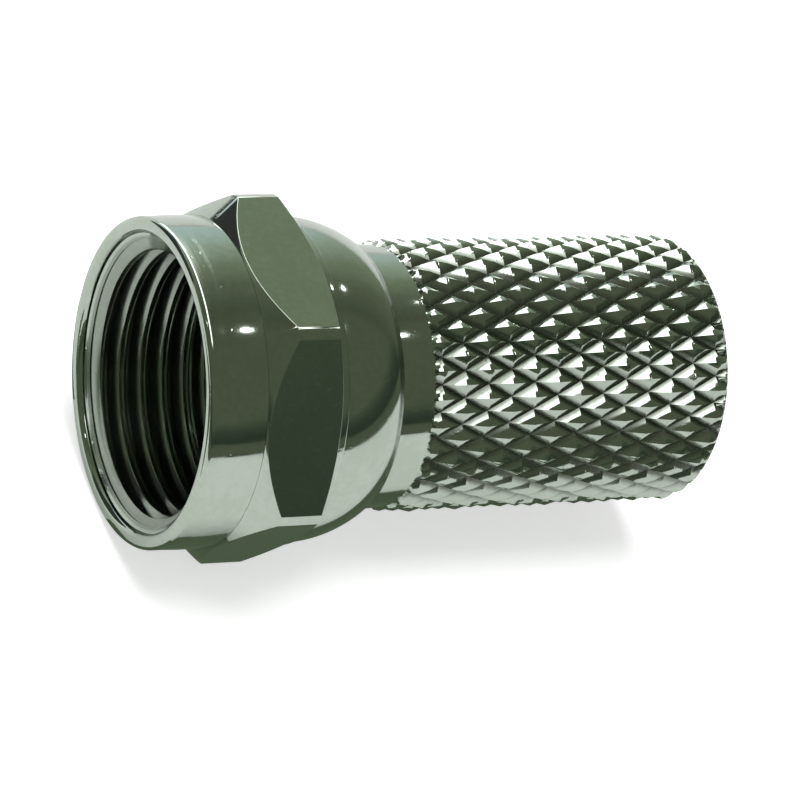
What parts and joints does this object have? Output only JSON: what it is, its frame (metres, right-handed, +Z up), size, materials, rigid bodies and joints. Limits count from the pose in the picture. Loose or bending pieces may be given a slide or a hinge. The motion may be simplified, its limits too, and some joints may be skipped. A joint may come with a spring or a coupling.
{
  "type": "coaxial f plug",
  "caption": "Twist-on coaxial plug: a free-turning hexagonal coupling nut on a diamond-knurled cable sleeve.",
  "frame": {"origin": "centre of the coupling nut's mouth, on the plug's axis", "axes": "+X along the plug's axis from the nut's mouth towards the cable end, +Z up with one hexagon flat facing straight down"},
  "size_m": [0.0201, 0.0126, 0.0112],
  "materials": {
    "nut_plating": "bright nickel plating over brass, smooth turned",
    "sleeve_plating": "bright nickel plating over brass, smooth turned and diamond-knurled"
  },
  "bodies": {
    "sleeve": {"cable_sleeve": "sleeve_plating"},
    "nut": {"coupling_nut": "nut_plating"}
  },
  "joints": [
    {"name": "nut_spin", "type": "hinge", "parent": "sleeve", "child": "nut", "pos_m": [0, 0, 0], "axis": [1, 0, 0], "continuous": true}
  ]
}
